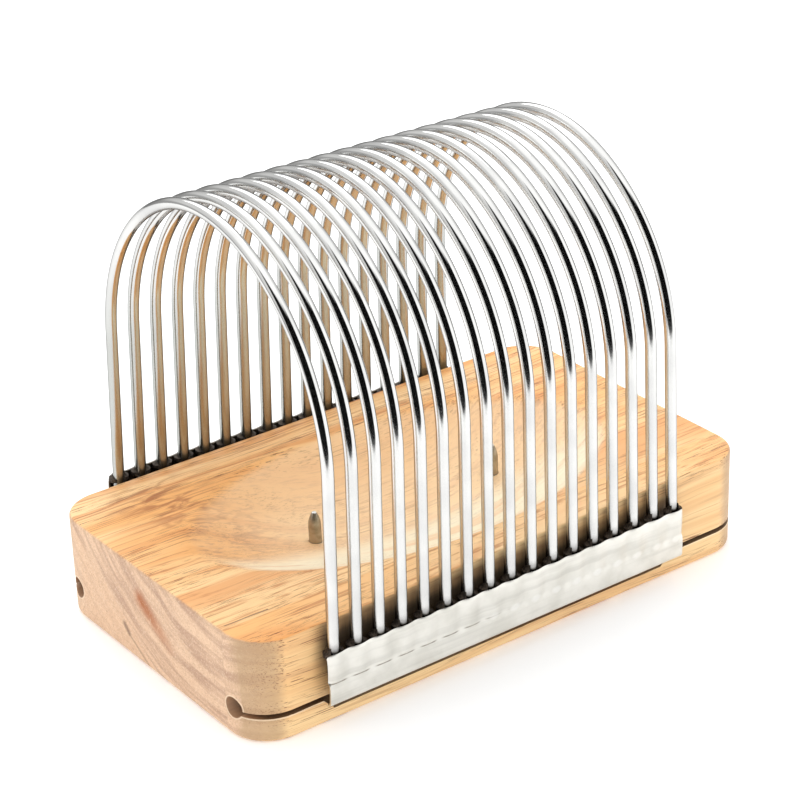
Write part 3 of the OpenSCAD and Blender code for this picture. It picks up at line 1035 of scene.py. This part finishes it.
def rod_material():
    """Plain drawn steel bar."""
    made, tree, shader = new_material("drawn_steel")
    place = node(tree, "ShaderNodeTexCoord").outputs["Object"]
    split = node(tree, "ShaderNodeSeparateXYZ", {0: place}).outputs
    drawn = noise(tree, stretched(tree, split, 15, 1600, 1600), detail=3)
    tone = mixed(tree, drawn, linear(186, 184, 180), linear(150, 148, 144))
    tree.links.new(tone, shader.inputs["Base Color"])
    shader.inputs["Metallic"].default_value = 1.0
    tree.links.new(plus(tree, times(tree, drawn, 0.2), 0.22), shader.inputs["Roughness"])
    tree.links.new(bump(tree, drawn, 0.02 * MM, 0.4), shader.inputs["Normal"])
    return made


def floor_material():
    made, tree, shader = new_material("white_sweep")
    place = node(tree, "ShaderNodeTexCoord").outputs["Object"]
    tone = mixed(tree, noise(tree, place, scale=3, detail=1), linear(250, 250, 250), linear(248, 248, 248))
    tree.links.new(tone, shader.inputs["Base Color"])
    shader.inputs["Roughness"].default_value = 0.9
    shader.inputs["Specular IOR Level"].default_value = 0.1
    shader.inputs["Emission Color"].default_value = (1, 1, 1, 1)
    shader.inputs["Emission Strength"].default_value = FLOOR_GLOW
    return made


# ---------------------------------------------------------------- stage, light and camera

def make_floor():
    """A white table. It ends in front of the object, outside the picture."""
    towards = Vector((math.cos(GAP_BEARING), math.sin(GAP_BEARING), 0))
    sideways = Vector((-towards.y, towards.x, 0)) * TABLE_HALF_WIDTH
    near = towards * TABLE_FRONT
    far = towards * -TABLE_BACK
    floor = mesh_object("floor", [near - sideways, near + sideways, far + sideways, far - sideways],
                        [(0, 1, 2, 3)])
    floor.data.materials.append(floor_material())


def bearing_window(tree, split, bearing, half_width, softness):
    """1 within half_width of a bearing, fading to 0 over the softness beyond it."""
    c, s = math.cos(bearing), math.sin(bearing)
    facing = plus(tree, times(tree, split[0], c), times(tree, split[1], s))
    sideways = minus(tree, times(tree, split[1], c), times(tree, split[0], s))
    away = size_of(tree, maths(tree, "ARCTAN2", sideways, facing))
    return ramp(tree, away, half_width + softness, half_width)


def make_world():
    """A white studio. The steel also sees a dark gap between the soft boxes and a grey back wall."""
    world = bpy.data.worlds.new("studio")
    bpy.context.scene.world = world
    world.use_nodes = True
    tree = world.node_tree
    tree.nodes.clear()
    direction = node(tree, "ShaderNodeTexCoord").outputs["Generated"]
    split = node(tree, "ShaderNodeSeparateXYZ", {0: direction}).outputs
    height = split[2]
    gap = bearing_window(tree, split, GAP_BEARING, GAP_HALF_WIDTH, GAP_SOFTNESS)
    gap = times(tree, gap, ramp(tree, height, GAP_TOP + 0.06, GAP_TOP - 0.06))
    wall = bearing_window(tree, split, WALL_BEARING, WALL_HALF_WIDTH, WALL_SOFTNESS)
    wall = times(tree, wall, ramp(tree, height, *WALL_TOP))
    wall_tone = mixed_value(tree, ramp(tree, height, *WALL_FOOT), WALL_FOOT_SHADE, WALL_SHADE)
    seen = mixed_value(tree, wall, SOFT_BOXES, wall_tone)
    seen = mixed_value(tree, gap, seen, 0.0)
    ray = node(tree, "ShaderNodeLightPath").outputs
    strength = mixed_value(tree, ray["Is Glossy Ray"], DOME, seen)
    strength = mixed_value(tree, ray["Is Camera Ray"], strength, BACKDROP)
    background = node(tree, "ShaderNodeBackground", {"Color": (1, 1, 1, 1), "Strength": strength})
    output = node(tree, "ShaderNodeOutputWorld")
    tree.links.new(background.outputs[0], output.inputs[0])


def make_key_light():
    """One large soft box above and behind the object."""
    data = bpy.data.lights.new("key", "AREA")
    data.shape = "RECTANGLE"
    data.size, data.size_y = KEY_SIZE
    data.energy = KEY_POWER
    key = bpy.data.objects.new("key", data)
    bpy.context.scene.collection.objects.link(key)
    key.location = KEY_PLACE
    key.rotation_mode = "QUATERNION"
    key.rotation_quaternion = key.location.to_track_quat("Z", "Y")


def make_camera():
    data = bpy.data.cameras.new("camera")
    data.lens = CAMERA_LENS
    data.sensor_width = 36
    data.clip_start = 0.05
    data.clip_end = 20
    camera = bpy.data.objects.new("camera", data)
    bpy.context.scene.collection.objects.link(camera)
    bpy.context.scene.camera = camera
    a, e = CAMERA_AZIMUTH, CAMERA_ELEVATION
    back = Vector((math.sin(a) * math.cos(e), -math.cos(a) * math.cos(e), math.sin(e)))
    right = Vector((math.cos(a), math.sin(a), 0))
    up = back.cross(right)
    c, s = math.cos(CAMERA_ROLL), math.sin(CAMERA_ROLL)
    axes = Matrix((right * c + up * s, up * c - right * s, back)).transposed()
    camera.matrix_world = Matrix.Translation(CAMERA_PLACE) @ axes.to_4x4()


# ---------------------------------------------------------------- the scene

def dress(piece, materials, body, slot, *cad_nodes):
    """Gives a piece its materials, hangs it on its body and hides its CAD nodes."""
    for material in materials:
        piece.data.materials.append(material)
    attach(piece, body)
    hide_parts(*cad_nodes)


def main():
    bpy.context.scene.view_settings.view_transform = "Standard"
    make_camera()
    make_floor()
    make_world()
    make_key_light()
    dress(make_board(), [wood_material()], "base", "wood", "board")
    spike_steel = spike_material()
    for name in ("spike_left", "spike_right"):
        dress(make_spike(name), [spike_steel], "base", "spike_steel", name)
    dress(make_rod(), [rod_material()], "hinge", "rod_steel", "hinge_rod")
    polished = hoop_material()
    path = hoop_path()
    for k in range(HOOP_COUNT):
        name = f"hoop_{k + 1:02d}"
        place = swung(GUARD_TWIST * k / (HOOP_COUNT - 1))
        dress(make_hoop(name, path, place), [polished], "guard", "hoop_steel", name)
    weld = weld_material()
    for name, side, place, tail in (("front_rail", FRONT, on_leg(FRONT), front_tail()),
                                    ("back_rail", BACK, back_rail_place(), back_tail())):
        rail = make_rail(name + "_sheet", place, tail)
        dress(rail, [rail_material(side, place), weld], "guard", "rail_steel", name)


main()
